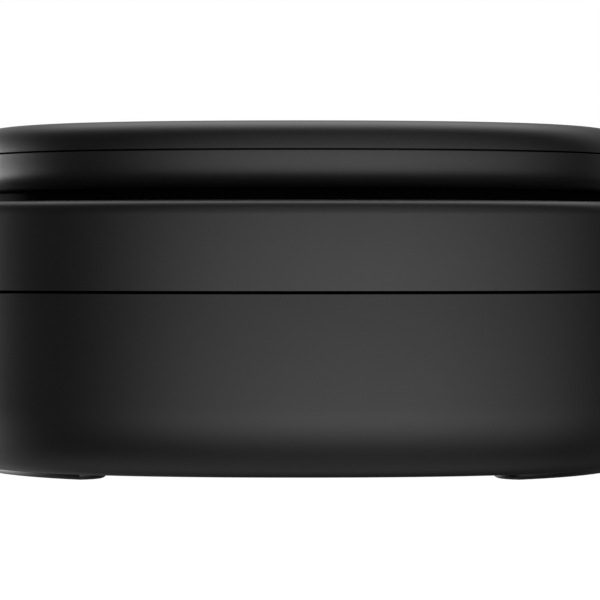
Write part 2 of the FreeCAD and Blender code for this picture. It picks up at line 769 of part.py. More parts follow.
def make_button():
    """The pairing button in the side wall, and the switch that it presses."""
    body = new_body("pairing_button")
    level = size("button_level")
    sketch = new_sketch(body, "button_cap_outline", "button_flange_face", "YZ_Plane")
    capsule(sketch, 0, level, size("button_width"), size("button_tall"))
    cap = pad(body, "button_cap", sketch, "button_face - button_flange_face")
    face_edges = [f"Edge{number}" for number, edge in enumerate(cap.Shape.Edges, 1)
                  if abs(edge.BoundBox.XMin - size("button_face")) < 0.01]
    round_edges(body, "button_face_edge", face_edges, "small_edge")
    sketch = new_sketch(body, "button_flange_outline", "button_flange_face - button_flange_thick", "YZ_Plane")
    extra = 2 * size("button_flange")
    capsule(sketch, 0, level, size("button_width") + extra, size("button_tall") + extra)
    pad(body, "button_flange_plate", sketch, "button_flange_thick")
    sketch = new_sketch(body, "button_stub_outline", "button_stub_end", "YZ_Plane")
    circle(sketch, "0", "button_level", "button_stub")
    pad(body, "button_stub_rod", sketch, "button_flange_face - button_stub_end")

    body = box_part("button_switch", "switch_face - switch_deep", "switch_face", "-switch_half",
                    "switch_half", "board_bottom + board", "switch_tall")
    sketch = new_sketch(body, "switch_nub_outline", "switch_face", "YZ_Plane")
    circle(sketch, "0", "button_level", "button_stub")
    pad(body, "switch_nub", sketch, "small_edge")


def make_light_pipe():
    """A clear rod from just above the lamp to the deck, with a flange under the deck."""
    body = new_body("light_pipe")
    spot = [("0", "-lamp_front")]
    foot = "board_bottom + board + lamp_tall + fit_gap"
    discs(body, "pipe_rod", spot, "pipe_radius", foot, f"deck_level - close_gap - ({foot})")
    discs(body, "pipe_flange_disc", spot, "pipe_radius + pipe_flange", "deck_level - deck - pipe_flange",
          "pipe_flange")


def make_contacts():
    """Spring contacts: fixed barrels on the board, and a plunger and a spring for each."""
    places = four("well_offset", "contact_apart")
    board_top = "board_bottom + board"
    barrels = new_body("contact_barrels")
    discs(barrels, "barrel_bodies", places, "barrel_radius", board_top, f"barrel_top - ({board_top})")
    holes(barrels, "barrel_mouths", places, "barrel_mouth", "barrel_top", "barrel_lid")
    holes(barrels, "barrel_bores", places, "barrel_bore", "barrel_top - barrel_lid",
          f"barrel_top - barrel_lid - ({board_top}) - barrel_floor")
    for place, spot in zip(CORNERS, places):
        plunger = new_body("contact_pin_" + place)
        discs(plunger, f"pin_{place}_collar", [spot], "plunger_collar", "plunger_collar_level",
              "plunger_collar_tall")
        stem = discs(plunger, f"pin_{place}_stem", [spot], "plunger_radius", "plunger_collar_level",
                     "plunger_tip - plunger_collar_level")
        tip_edges = flat_edges(stem, size("plunger_tip"), lambda box: True)
        round_edges(plunger, f"pin_{place}_tip", tip_edges, "small_edge")
        make_contact_spring(place)


def make_contact_spring(place):
    """A small coil spring between the barrel's floor and the plunger's collar."""
    sign_x, sign_y = CORNERS[place]
    floor = "board_bottom + board + barrel_floor + 1.2 * spring_wire"
    tall = f"plunger_collar_level - ({floor}) - 1.2 * spring_wire"
    helix = doc.addObject("Part::Helix", "helix_" + place)
    helix.setExpression("Height", bound(tall))
    helix.setExpression("Pitch", bound(f"({tall}) / spring_turns"))
    helix.setExpression("Radius", bound("spring_radius"))
    wire = doc.addObject("Part::Circle", "wire_" + place)
    wire.setExpression("Radius", bound("spring_wire"))
    wire.Placement.Rotation = FreeCAD.Rotation(Vector(1, 0, 0), 90)
    wire.setExpression("Placement.Base.x", bound("spring_radius"))
    doc.recompute()
    spring = doc.addObject("Part::Sweep", "contact_spring_" + place)
    spring.Label = "contact_spring_" + place
    spring.Sections = [wire]
    spring.Spine = (helix, [f"Edge{number}" for number in range(1, len(helix.Shape.Edges) + 1)])
    spring.Solid = True
    spring.Frenet = True
    spring.setExpression("Placement.Base.x", bound(f"{sign_x} * well_offset"))
    spring.setExpression("Placement.Base.y", bound(f"{sign_y} * contact_apart"))
    spring.setExpression("Placement.Base.z", bound(floor))
    doc.recompute()
    subparts.append(spring)


def make_battery():
    """The flat cell on its foam pad, with a strip that carries its charge to the board."""
    body = box_part("battery_cell", "-battery_half_long", "battery_half_long", "-battery_half_wide",
                    "battery_half_wide", "battery_bottom", "battery_tall")
    long_edges = [f"Edge{number}" for number, edge in enumerate(body.Tip.Shape.Edges, 1)
                  if edge.BoundBox.XLength > size("battery_half_long")]
    round_edges(body, "pouch_edges", long_edges, "battery_edge")
    box_part("battery_foam_pad", "-battery_half_long", "battery_half_long", "-battery_half_wide",
             "battery_half_wide", "ferrite_bottom + ferrite", "foam")

    strip = new_body("battery_flex_strip")
    sketch = new_sketch(strip, "strip_profile", "0", "XZ_Plane")
    cell_end, thick = size("battery_half_long"), size("strip")
    rise = cell_end + size("strip_reach")
    tip = rise + size("strip_reach")
    low, high = size("battery_bottom") + size("battery_tall") / 2, size("board_bottom")
    polygon(sketch, [(cell_end, low), (rise, low), (rise, high - thick), (tip, high - thick), (tip, high),
                     (rise - thick, high), (rise - thick, low + thick), (cell_end, low + thick)])
    pad(strip, "strip_band", sketch, "strip_wide", both_ways=True)


def make_coil():
    """The flat charging coil, its turns side by side, and the ferrite sheet over it."""
    body = new_body("wireless_charging_coil")
    sketch = new_sketch(body, "coil_profile", "0", "XZ_Plane")
    inner, outer = size("coil_inner"), size("coil_outer")
    step = (outer - inner) / size("coil_turns")
    bottom = size("coil_bottom")
    crown = bottom + size("coil_wire")
    for number in range(int(size("coil_turns"))):
        left = inner + number * step
        middle = Vector(left + step / 2, crown + size("coil_wire"), 0)
        sketch.addGeometry(Part.Arc(Vector(left, crown, 0), middle, Vector(left + step, crown, 0)))
    for start, end in (((outer, crown), (outer, bottom)), ((outer, bottom), (inner, bottom)),
                       ((inner, bottom), (inner, crown))):
        sketch.addGeometry(Part.LineSegment(Vector(*start, 0), Vector(*end, 0)))
    turn(body, "coil_turns_disc", sketch)
    box_part("coil_ferrite_sheet", "-ferrite_half", "ferrite_half", "-ferrite_half", "ferrite_half",
             "ferrite_bottom", "ferrite", "board_corner")


def magnet_group(label, places, level):
    body = new_body(label)
    discs(body, label + "_discs", places, "magnet_radius", level, "magnet_tall")


# ---------------------------------------------------------------- build, check and write
def build():
    fill_sheet()
    make_lower_shell()
    make_collar()
    for place, (sign_x, sign_y) in CORNERS.items():
        make_foot(place, sign_x, sign_y)
    make_tray()
    make_hinge_bracket()
    make_hinge_pin()
    make_hinge_arm()
    make_lid_ring()
    make_lid_cap()
    make_lid_liner()
    make_lid_bumpers()
    make_board()
    make_port()
    make_components()
    make_button()
    make_light_pipe()
    make_contacts()
    make_battery()
    make_coil()
    magnet_group("base_closing_magnets", pair("magnet_apart", "-magnet_front"),
                 "deck_level - deck - magnet_tall")
    magnet_group("lid_closing_magnets", pair("magnet_apart", "-magnet_front"), "boss_bottom + bumper")
    magnet_group("earbud_magnets", four("well_offset", "well_magnet_apart"),
                 "well_floor - well_base - magnet_tall")
    screw_group("tray_screws", four("screw_reach", "screw_reach"), "flange_bottom", "flange + screw_grip",
                downwards=False)
    screw_group("board_screws", four("post_across", "post_apart"), "board_bottom + board",
                "board + 2 * screw_grip")
    screw_group("lid_hinge_screws", pair("arm_screw_apart", "arm_screw_back"), "lid_bottom + ring_flange",
                "arm_tall + screw_grip", downwards=False)
    doc.recompute()


def check():
    for item in doc.Objects:
        if {"Invalid", "Error"} & set(item.State):
            raise RuntimeError(f"{item.Label}: {item.State}")
    for item in subparts:
        if item.Shape.isNull() or not item.Shape.isValid():
            raise RuntimeError(f"{item.Label}: bad shape")


def write():
    os.makedirs(PARTS_FOLDER, exist_ok=True)
    for item in subparts:
        item.Shape.exportStep(f"{PARTS_FOLDER}/{item.Label}.step")
        print(f"{item.Label:28s} solids {len(item.Shape.Solids):2d}  volume {item.Shape.Volume:10.3f} mm3")


build()
check()
write()
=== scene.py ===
"""Looks of the wireless earbuds charging case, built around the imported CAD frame.

The four outer shells are swept again as finer meshes round the case's rounded-square outline, and the four
contact springs are wound as coils. The rest of the CAD nodes keep their shape. Every piece gets a procedural
material. Lengths are in metres.
"""
import json
import math

import bmesh
import bpy
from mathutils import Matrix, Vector


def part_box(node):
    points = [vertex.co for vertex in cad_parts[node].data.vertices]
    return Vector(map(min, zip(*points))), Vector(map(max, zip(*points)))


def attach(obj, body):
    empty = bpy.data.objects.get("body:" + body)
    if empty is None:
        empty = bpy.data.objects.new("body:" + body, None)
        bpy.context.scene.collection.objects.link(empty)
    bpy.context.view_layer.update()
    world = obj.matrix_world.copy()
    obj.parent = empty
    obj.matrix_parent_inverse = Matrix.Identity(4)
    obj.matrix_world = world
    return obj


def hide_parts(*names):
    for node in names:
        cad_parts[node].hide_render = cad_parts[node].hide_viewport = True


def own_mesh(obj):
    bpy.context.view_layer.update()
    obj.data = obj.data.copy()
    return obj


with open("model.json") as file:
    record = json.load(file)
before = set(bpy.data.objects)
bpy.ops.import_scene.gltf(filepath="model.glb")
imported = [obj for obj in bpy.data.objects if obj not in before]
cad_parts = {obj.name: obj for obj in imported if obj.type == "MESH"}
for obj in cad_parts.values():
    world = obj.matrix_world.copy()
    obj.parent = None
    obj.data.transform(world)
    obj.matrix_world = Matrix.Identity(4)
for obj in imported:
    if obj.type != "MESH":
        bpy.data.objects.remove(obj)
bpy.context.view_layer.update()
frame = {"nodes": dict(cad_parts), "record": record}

MM = 0.001
ROUNDNESS = 0.70                 # how far the outline's curve handles reach, as a share of its half width
AROUND = 320                     # points round an outline
SHARP_ANGLE = math.radians(40.0)  # edges that turn by more are shown sharp
EDGE = 0.05 * MM                 # the tiny rounding of every moulded edge
BASE_WALL = 2.0 * MM
LID_WALL = 1.2 * MM
LIP_OUTER = 0.15 * MM            # from a wall's inner face to its seam lip's outer face
LIP_INNER = 1.35 * MM            # from a wall's inner face to its seam lip's inner face
GAP_SHADE_DEPTH = 0.6 * MM            # how far in from its outer face the tray's neck carries painted shade, a near-black finish for the shadow in the gap under the lid

case_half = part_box("base_collar")[1].x
lid_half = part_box("lid_ring")[1].x
inside_half = case_half - BASE_WALL
tray_half = 30.1 * MM
collar_opening_half = tray_half + 0.3 * MM
lid_inside_half = lid_half - LID_WALL
lid_opening_half = 30.7 * MM
base_seam_gap = 0.24 * MM
lid_seam_gap = 0.10 * MM


# ------------------------------------------------------------------ outline and sweep
def quarter_point(half, t):
    """A point and its outward normal on the outline's first quarter, from the Y axis to the X axis."""
    handle = ROUNDNESS * half
    poles = [(0.0, half), (handle, half), (half, handle), (half, 0.0)]
    u = 1.0 - t
    weights = (u ** 3, 3 * u * u * t, 3 * u * t * t, t ** 3)
    point = Vector([sum(w * pole[axis] for w, pole in zip(weights, poles)) for axis in (0, 1)])
    slopes = (u * u, 2 * u * t, t * t)
    along = Vector((0.0, 0.0))
    for slope, start, end in zip(slopes, poles, poles[1:]):
        along += slope * Vector((end[0] - start[0], end[1] - start[1]))
    along.normalize()
    return point, Vector((-along.y, along.x))


def outline(half, count=AROUND):
    """Evenly spaced points round the outline, each with its outward normal."""
    steps = 400
    samples = [quarter_point(half, i / steps) for i in range(steps + 1)]
    lengths = [0.0]
    for (before, _), (after, _) in zip(samples, samples[1:]):
        lengths.append(lengths[-1] + (after - before).length)
    quarter = []
    index = 0
    for number in range(count // 4):
        wanted = lengths[-1] * number / (count // 4)
        while lengths[index + 1] < wanted:
            index += 1
        share = (wanted - lengths[index]) / (lengths[index + 1] - lengths[index])
        quarter.append(quarter_point(half, (index + share) / steps))
    ring = []
    for turn in range(4):
        cos, sin = round(math.cos(-turn * math.pi / 2)), round(math.sin(-turn * math.pi / 2))
        for point, normal in quarter:
            ring.append((Vector((cos * point.x - sin * point.y, sin * point.x + cos * point.y)),
                         Vector((cos * normal.x - sin * normal.y, sin * normal.x + cos * normal.y))))
    return ring


def mesh_object(name, verts, faces):
    """A new object in the scene, with smooth shading and its faces turned outwards."""
    mesh = bpy.data.meshes.new(name)
    mesh.from_pydata(verts, [], faces)
    mesh.validate()
    shape = bmesh.new()
    shape.from_mesh(mesh)
    bmesh.ops.recalc_face_normals(shape, faces=shape.faces)
    shape.to_mesh(mesh)
    shape.free()
    mesh.polygons.foreach_set("use_smooth", [True] * len(mesh.polygons))
    mesh.set_sharp_from_angle(angle=SHARP_ANGLE)
    piece = bpy.data.objects.new(name, mesh)
    bpy.context.scene.collection.objects.link(piece)
    return piece


def sweep(name, half, stations, closed=True):
    """A solid swept round the outline, through stations of (scale, inset, height). An open profile is
    closed with a centre point at each end, on the middle axis."""
    ring = outline(half)
    count = len(ring)
    verts, faces = [], []
    for scale, inset, height in stations:
        for point, normal in ring:
            spot = point * scale - normal * inset
            verts.append((spot.x, spot.y, height))
    rows = len(stations)
    for row in range(rows if closed else rows - 1):
        following = (row + 1) % rows
        for column in range(count):
            beside = (column + 1) % count
            faces.append((row * count + column, following * count + column,
                          following * count + beside, row * count + beside))
    if not closed:
        for row, flip in ((0, False), (rows - 1, True)):
            verts.append((0.0, 0.0, stations[row][2]))
            middle = len(verts) - 1
            for column in range(count):
                beside = (column + 1) % count
                corners = (middle, row * count + column, row * count + beside)
                faces.append(corners[::-1] if flip else corners)
    return mesh_object(name, verts, faces)


def arc(inset, height, radius, start, end, steps):
    """Stations on an arc in the profile plane: 0 degrees faces outwards, 90 faces up."""
    turns = [math.radians(start + (end - start) * i / steps) for i in range(steps + 1)]
    return [(1.0, inset - radius * math.cos(a), height + radius * math.sin(a)) for a in turns]


def swoop(low, deep, rise, steps):
    """Stations of an elliptical under-curve: from the flat bottom, deep inwards, up to the upright wall."""
    turns = [math.radians(-90.0 + 90.0 * number / steps) for number in range(steps + 1)]
    return [(1.0, deep * (1 - math.cos(a)), low + rise * (1 + math.sin(a))) for a in turns]


# ------------------------------------------------------------------ shells
def build_lid_cap():
    """The lid's top, with its rounded edge. The rings over the top and the ceiling draw in to the middle."""
    low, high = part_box("lid_cap")[0].z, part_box("lid_cap")[1].z
    top_round = 2.9 * MM
    start = math.degrees(math.asin((low + EDGE - (high - top_round)) / top_round))
    ceiling = high - 1.4 * MM
    stations = [(lid_inside_half / lid_half, 0.0, low), (1.0, 2 * EDGE, low)]
    stations += arc(top_round, high - top_round, top_round, start, 90.0, 24)
    stations += [(s, top_round * s, high) for s in (0.9, 0.7, 0.45, 0.2, 0.05)]
    inner = [(s * lid_inside_half / lid_half, 0.0, ceiling) for s in (0.05, 0.3, 0.6, 0.9, 1.0)]
    piece = sweep("lid_cap_shell", lid_half, inner + stations, closed=False)
    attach(piece, "lid")
    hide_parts("lid_cap")
    return piece


def build_lid_ring():
    """The lid's lower ring: the under-curve, the upright wall, the seam's lip and the inner flange."""
    low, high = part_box("lid_ring")[0].z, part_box("lid_cap")[0].z - lid_seam_gap
    lip_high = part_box("lid_ring")[1].z
    deep, rise = 1.5 * MM, 3.26 * MM
    stations = [(lid_opening_half / lid_half, 0.0, low)]
    stations += swoop(low, deep, rise, 28)
    stations += arc(EDGE, high - EDGE, EDGE, 0.0, 90.0, 4)
    lip_outer = (lid_inside_half - LIP_OUTER) / lid_half
    lip_inner = (lid_inside_half - LIP_INNER) / lid_half
    stations += [(lip_outer, 0.0, high), (lip_outer, 0.0, lip_high), (lip_inner, 0.0, lip_high)]
    flange_top = low + 1.2 * MM
    stations += [(lip_inner, 0.0, flange_top), (lid_opening_half / lid_half, 0.0, flange_top)]
    piece = sweep("lid_ring_shell", lid_half, stations)
    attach(piece, "lid")
    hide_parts("lid_ring")
    return piece


def build_collar():
    """The base's upper ring: the wall, the rounded rim, the plate round the tray, and the seam's lip."""
    seam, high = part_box("base_lower_shell")[1].z + base_seam_gap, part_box("base_collar")[1].z
    rim = 1.3 * MM
    plate_low = high - 1.6 * MM
    lip_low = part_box("base_collar")[0].z
    lip_root_outer, lip_root_inner = 18.5 * MM, 18.3 * MM
    chamfer_out, chamfer_down = 0.2 * MM, 0.34 * MM
    stations = arc(EDGE, seam + EDGE, EDGE, -90.0, 0.0, 4)
    stations += arc(rim, high - rim, rim, 0.0, 90.0, 18)
    stations += [(collar_opening_half / case_half, 0.0, high)]
    stations += [(collar_opening_half / case_half, 0.0, plate_low), (inside_half / case_half, 0.0, plate_low)]
    lip_outer = (inside_half - LIP_OUTER) / case_half
    lip_inner = (inside_half - LIP_INNER) / case_half
    stations += [(inside_half / case_half, 0.0, lip_root_outer), (lip_inner, 0.0, lip_root_inner),
                 (lip_inner, 0.0, lip_low), (lip_outer, 0.0, lip_low), (lip_outer, 0.0, seam - chamfer_down),
                 ((inside_half + chamfer_out) / case_half, 0.0, seam)]
    piece = sweep("base_collar_shell", case_half, stations)
    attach(piece, "base")
    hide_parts("base_collar")
    return piece


def capsule_cutter(name, width, tall, spot, along):
    """A prism with a slot's outline, long enough to pass through a wall, facing along X or Y."""
    through = 3 * MM
    radius = tall / 2
    reach = width / 2 - radius
    rim = []
    steps = 24
    for side, start in ((1, -90.0), (-1, 90.0)):
        for number in range(steps + 1):
            turn = math.radians(start + 180.0 * number / steps)
            rim.append((side * reach + radius * math.cos(turn), radius * math.sin(turn)))
    verts = []
    for depth in (-through, through):
        for aside, up in rim:
            if along == "x":
                verts.append((spot[0] + depth, spot[1] + aside, spot[2] + up))
            else:
                verts.append((spot[0] + aside, spot[1] + depth, spot[2] + up))
    count = len(rim)
    faces = [(i, (i + 1) % count, (i + 1) % count + count, i + count) for i in range(count)]
    faces += [tuple(range(count))[::-1], tuple(range(count, 2 * count))]
    return mesh_object(name, verts, faces)


def cut(piece, cutter):
    """Applies a boolean difference and removes the cutter."""
    modifier = piece.modifiers.new("cut", "BOOLEAN")
    modifier.object = cutter
    modifier.solver = "EXACT"
    with bpy.context.temp_override(object=piece, active_object=piece, selected_objects=[piece]):
        bpy.ops.object.modifier_apply(modifier=modifier.name)
    bpy.data.objects.remove(cutter)


def build_lower_shell():
    """The base's bowl, with its large bottom radius and the openings for the socket and the button."""
    low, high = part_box("base_lower_shell")[0].z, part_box("base_lower_shell")[1].z
    outer_round, outer_rise, inner_round = 4.7 * MM, 6.3 * MM, 3.2 * MM
    floor = low + BASE_WALL
    ratio = inside_half / case_half
    stations = [(s, outer_round * s, low) for s in (0.05, 0.3, 0.6, 0.85)]
    stations += swoop(low, outer_round, outer_rise, 36)
    stations += arc(EDGE, high - EDGE, EDGE, 0.0, 90.0, 4)
    stations += [(ratio, 0.0, high)]
    inner = arc(inner_round, floor + inner_round, inner_round, 0.0, -90.0, 12)
    stations += [(ratio, inset, height) for _, inset, height in inner]
    stations += [(s * ratio, inner_round * s, floor) for s in (0.8, 0.5, 0.25, 0.05)]
    piece = sweep("base_lower_shell_body", case_half, stations, closed=False)
    port_low, port_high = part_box("usb_c_receptacle")
    port = (port_low + port_high) / 2
    port_room = 0.36 * MM
    cut(piece, capsule_cutter("port_cutter", port_high.x - port_low.x + port_room,
                              port_high.z - port_low.z + port_room, (port.x, case_half, port.z), "y"))
    button = (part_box("pairing_button")[0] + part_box("pairing_button")[1]) / 2
    opening_width, opening_tall = 8.2 * MM, 3.4 * MM
    cut(piece, capsule_cutter("button_cutter", opening_width, opening_tall,
                              (case_half, button.y, button.z), "x"))
    piece.data.set_sharp_from_angle(angle=SHARP_ANGLE)
    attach(piece, "base")
    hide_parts("base_lower_shell")
    return piece


def build_contact_spring(place):
    """A coil spring that stands on its barrel's floor."""
    node, joint = "contact_spring_" + place, f"contact_pin_{place}_press"
    low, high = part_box(node)
    wire, turns, steps, around = 0.06 * MM, 5, 160, 8
    radius = (high.x - low.x) / 2 - wire
    rise = high.z - low.z - 2 * wire
    foot = Vector(((low.x + high.x) / 2, (low.y + high.y) / 2, low.z + wire))
    verts, faces = [], []
    for step in range(steps + 1):
        turn = 2 * math.pi * turns * step / steps
        outward = Vector((math.cos(turn), math.sin(turn), 0.0))
        for number in range(around):
            angle = 2 * math.pi * number / around
            spot = foot + outward * (radius + wire * math.cos(angle))
            verts.append((spot.x, spot.y, spot.z + rise * step / steps + wire * math.sin(angle)))
    for step in range(steps):
        for number in range(around):
            beside = (number + 1) % around
            faces.append((step * around + number, (step + 1) * around + number,
                          (step + 1) * around + beside, step * around + beside))
    faces += [tuple(range(around)), tuple(range(steps * around, (steps + 1) * around))[::-1]]
    piece = mesh_object(node + "_coil", verts, faces)
    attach(piece, "base")
    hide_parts(node)
    paint(piece, "steel")
    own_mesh(piece)


# ------------------------------------------------------------------ materials
def arithmetic(tree, operation, first, second=None):
    """A Math node whose inputs are numbers or other nodes' outputs."""
    node = tree.nodes.new("ShaderNodeMath")
    node.operation = operation
    for socket, value in zip(node.inputs, (first, second)):
        if value is None:
            continue
        if isinstance(value, (int, float)):
            socket.default_value = value
        else:
            tree.links.new(value, socket)
    return node.outputs[0]


def new_material(name, colour, roughness, metallic=0.0):
    """A principled material; returns it with its node tree and shader."""
    material = bpy.data.materials.new(name)
    material.use_nodes = True
    tree = material.node_tree
    shader = tree.nodes["Principled BSDF"]
    shader.inputs["Base Color"].default_value = (*colour, 1.0)
    shader.inputs["Roughness"].default_value = roughness
    shader.inputs["Metallic"].default_value = metallic
    return material, tree, shader


def noise(tree, scale, detail=2.0, stretch=(1.0, 1.0, 1.0)):
    """A noise texture on the object's own coordinates; scale is in features per metre."""
    where = tree.nodes.new("ShaderNodeTexCoord")
    mapping = tree.nodes.new("ShaderNodeMapping")
    mapping.inputs["Scale"].default_value = stretch
    texture = tree.nodes.new("ShaderNodeTexNoise")
    texture.inputs["Scale"].default_value = scale
    texture.inputs["Detail"].default_value = detail
    tree.links.new(where.outputs["Object"], mapping.inputs["Vector"])
    tree.links.new(mapping.outputs["Vector"], texture.inputs["Vector"])
    return texture.outputs["Fac"]


def spread(tree, value, low, high):
    """Maps a noise value, which is mostly between 0.3 and 0.7, onto a range."""
    node = tree.nodes.new("ShaderNodeMapRange")
    node.inputs["From Min"].default_value = 0.3
    node.inputs["From Max"].default_value = 0.7
    node.inputs["To Min"].default_value = low
    node.inputs["To Max"].default_value = high
    tree.links.new(value, node.inputs["Value"])
    return node.outputs["Result"]


def two_tone(tree, value, dark, light):
    """A colour ramp between two tones, driven by a noise value."""
    ramp = tree.nodes.new("ShaderNodeValToRGB")
    ramp.color_ramp.elements[0].position = 0.35
    ramp.color_ramp.elements[0].color = (*dark, 1.0)
    ramp.color_ramp.elements[1].position = 0.65
    ramp.color_ramp.elements[1].color = (*light, 1.0)
    tree.links.new(value, ramp.inputs["Fac"])
    return ramp.outputs["Color"]


def bump(tree, shader, value, depth):
    """Surface relief of a real depth in metres."""
    node = tree.nodes.new("ShaderNodeBump")
    node.inputs["Distance"].default_value = depth
    tree.links.new(value, node.inputs["Height"])
    tree.links.new(node.outputs["Normal"], shader.inputs["Normal"])


def grained(name, colour, roughness, tone=0.12, swing=0.04, grain=9000.0, depth=0.0, metallic=0.0,
            stretch=(1.0, 1.0, 1.0)):
    """A material with a fine grain in its colour and relief, and a broad swing in its roughness."""
    material, tree, shader = new_material(name, colour, roughness, metallic)
    fine = noise(tree, grain, 3.0, stretch)
    broad = noise(tree, grain / 40.0, 2.0)
    dark = tuple(c * (1.0 - tone) for c in colour)
    light = tuple(min(1.0, c * (1.0 + tone)) for c in colour)
    tree.links.new(two_tone(tree, fine, dark, light), shader.inputs["Base Color"])
    tree.links.new(spread(tree, broad, roughness - swing, roughness + swing), shader.inputs["Roughness"])
    if depth:
        bump(tree, shader, fine, depth)
    return material


def paint_gap_shade(tree, shader, half):
    """Paints shade on what lies outside the tray's rounded-square outline of this half width: a near-black,
    almost unreflecting finish that stands in for the deep shadow in the gap under the lid. The outline is
    taken as the superellipse through its middles and corners."""
    where = tree.nodes.new("ShaderNodeTexCoord")
    axes = tree.nodes.new("ShaderNodeSeparateXYZ")
    tree.links.new(where.outputs["Object"], axes.inputs[0])
    power = math.log(0.5) / math.log((3 * ROUNDNESS + 4) / 8)
    parts = [arithmetic(tree, "POWER", arithmetic(tree, "ABSOLUTE", axes.outputs[axis]), power)
             for axis in "XY"]
    reach = arithmetic(tree, "POWER", arithmetic(tree, "ADD", *parts), 1 / power)
    outside = arithmetic(tree, "GREATER_THAN", reach, half)
    # painted shade: near-black colour, almost no specular reflection and full roughness outside the outline
    for name, value in (("Specular IOR Level", 0.03), ("Roughness", 0.95), ("Base Color", 0.003)):
        is_colour = name == "Base Color"
        # the Mix node keeps separate A, B and Result sockets for colours and for numbers
        first, second, result = (6, 7, 2) if is_colour else (2, 3, 0)
        mix = tree.nodes.new("ShaderNodeMix")
        mix.data_type = "RGBA" if is_colour else "FLOAT"
        tree.links.new(outside, mix.inputs[0])
        socket = shader.inputs[name]
        if socket.is_linked:
            tree.links.new(socket.links[0].from_socket, mix.inputs[first])
        else:
            mix.inputs[first].default_value = socket.default_value
        mix.inputs[second].default_value = (value, value, value, 1.0) if is_colour else value
        tree.links.new(mix.outputs[result], socket)


MATERIALS = {
    "case_plastic": grained("case_plastic", (0.012, 0.012, 0.0122), 0.36, swing=0.01, depth=0.0000006),
    "inner_plastic": grained("inner_plastic", (0.010, 0.010, 0.0102), 0.55, grain=7000.0, depth=0.0000015),
    "foot_rubber": grained("foot_rubber", (0.010, 0.010, 0.010), 0.30, grain=5000.0, depth=0.000001),
    "hinge_metal": grained("hinge_metal", (0.02, 0.02, 0.021), 0.38, grain=8000.0, depth=0.000001),
    "steel": grained("steel", (0.55, 0.55, 0.56), 0.28, metallic=1.0, stretch=(1.0, 1.0, 12.0)),
    "black_plastic": grained("black_plastic", (0.015, 0.015, 0.015), 0.5, depth=0.000002),
    "button_plastic": grained("button_plastic", (0.016, 0.016, 0.0162), 0.33, depth=0.0000006),
    "board_green": grained("board_green", (0.012, 0.09, 0.045), 0.32, grain=3000.0, depth=0.000002),
    "gold_contact": grained("gold_contact", (0.83, 0.60, 0.25), 0.2, metallic=1.0, tone=0.05),
    "cell_pouch": grained("cell_pouch", (0.55, 0.56, 0.58), 0.35, metallic=1.0, grain=900.0, depth=0.00002),
    "foam": grained("foam", (0.03, 0.03, 0.03), 0.9, grain=4000.0, depth=0.00004),
    "flex_film": grained("flex_film", (0.40, 0.18, 0.04), 0.25, grain=2500.0),
    "copper_coil": grained("copper_coil", (0.70, 0.33, 0.17), 0.3, metallic=1.0, grain=6000.0),
    "ferrite": grained("ferrite", (0.03, 0.03, 0.032), 0.6, grain=5000.0, depth=0.000004),
    "magnet_nickel": grained("magnet_nickel", (0.62, 0.61, 0.59), 0.15, metallic=1.0, tone=0.04),
    "lamp": grained("lamp", (0.80, 0.78, 0.60), 0.3, tone=0.03),
    "clear_plastic": grained("clear_plastic", (0.55, 0.57, 0.60), 0.25, tone=0.05, grain=4000.0),
}

# The tray's neck gets painted shade, so the gap under the lid reads black.
tray_tree = MATERIALS["inner_plastic"].node_tree
paint_gap_shade(tray_tree, tray_tree.nodes["Principled BSDF"], tray_half - GAP_SHADE_DEPTH)


def paint(piece, slot_name):
    piece.data.materials.clear()
    piece.data.materials.append(MATERIALS[slot_name])


def paint_everything(shells):
    """Gives every CAD node its own slot's material, and the rebuilt shells the case's plastic."""
    for entry in frame["record"]["subparts"]:
        paint(frame["nodes"][entry["node"]], entry["material_slot"])
    for piece in shells:
        paint(piece, "case_plastic")


# ------------------------------------------------------------------ stage, light and camera
def build_stage():
    """A plain white floor with a glow of its own, which neither lights the case nor is reflected in it."""
    size = 3.0
    corners = [(-size, -size, 0.0), (size, -size, 0.0), (size, size, 0.0), (-size, size, 0.0)]
    floor = mesh_object("floor", corners, [(0, 1, 2, 3)])
    material = bpy.data.materials.new("floor_white")
    material.use_nodes = True
    tree = material.node_tree
    tree.nodes.remove(tree.nodes["Principled BSDF"])
    glow = tree.nodes.new("ShaderNodeEmission")
    glow.inputs["Strength"].default_value = 1.0
    matte = tree.nodes.new("ShaderNodeBsdfDiffuse")
    matte.inputs["Color"].default_value = (0.8, 0.8, 0.8, 1.0)
    both = tree.nodes.new("ShaderNodeAddShader")
    tree.links.new(glow.outputs[0], both.inputs[0])
    tree.links.new(matte.outputs[0], both.inputs[1])
    tree.links.new(both.outputs[0], tree.nodes["Material Output"].inputs["Surface"])
    floor.data.materials.append(material)
    floor.visible_glossy = False
    floor.visible_diffuse = False


def ramp_node(tree, value, low, high, stops):
    """A grey curve over a range of angles: stops are (angle in degrees, brightness)."""
    scale = tree.nodes.new("ShaderNodeMapRange")
    scale.inputs["From Min"].default_value = math.radians(low)
    scale.inputs["From Max"].default_value = math.radians(high)
    tree.links.new(value, scale.inputs["Value"])
    top = max(brightness for _, brightness in stops)
    ramp = tree.nodes.new("ShaderNodeValToRGB")
    ramp.color_ramp.interpolation = "EASE"
    while len(ramp.color_ramp.elements) < len(stops):
        ramp.color_ramp.elements.new(0.5)
    for element, (angle, brightness) in zip(ramp.color_ramp.elements, stops):
        element.position = (angle - low) / (high - low)
        element.color = (brightness / top, brightness / top, brightness / top, 1.0)
    tree.links.new(scale.outputs["Result"], ramp.inputs["Fac"])
    return arithmetic(tree, "MULTIPLY", ramp.outputs["Color"], top)


